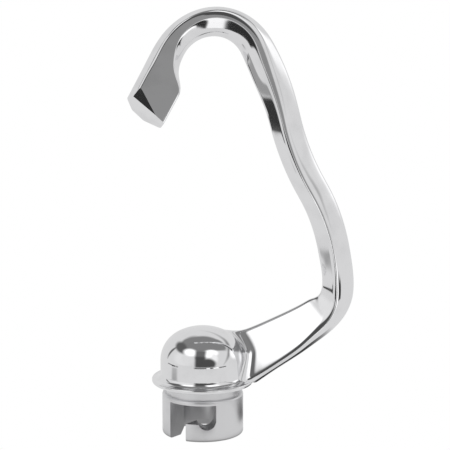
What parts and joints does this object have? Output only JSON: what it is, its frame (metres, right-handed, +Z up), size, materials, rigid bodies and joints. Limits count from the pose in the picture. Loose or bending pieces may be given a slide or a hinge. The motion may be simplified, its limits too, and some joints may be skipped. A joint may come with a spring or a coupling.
{
  "type": "dough hook for a stand mixer",
  "caption": "Polished steel dough hook with a curved bar, a domed hub with a drip flange, and a drive collar with a bayonet slot.",
  "frame": {"origin": "middle of the drive socket's mouth, on the bore's axis, in the plane of the collar's end face", "axes": "+Z up the bore towards the hub's dome and the hook, +X from the bore's axis towards the arm and the upright, so the hook's curve lies in the XZ plane; the bayonet pocket faces -Y"},
  "size_m": [0.0708, 0.0318, 0.1354],
  "materials": {
    "polished_steel": "polished",
    "satin_steel": "satin, turned",
    "pin_steel": "ground"
  },
  "bodies": {
    "root": {"drive_collar": "satin_steel", "drip_flange": "polished_steel", "hub_head": "polished_steel", "lock_pin": "pin_steel", "hook_bar": "polished_steel"}
  },
  "joints": []
}
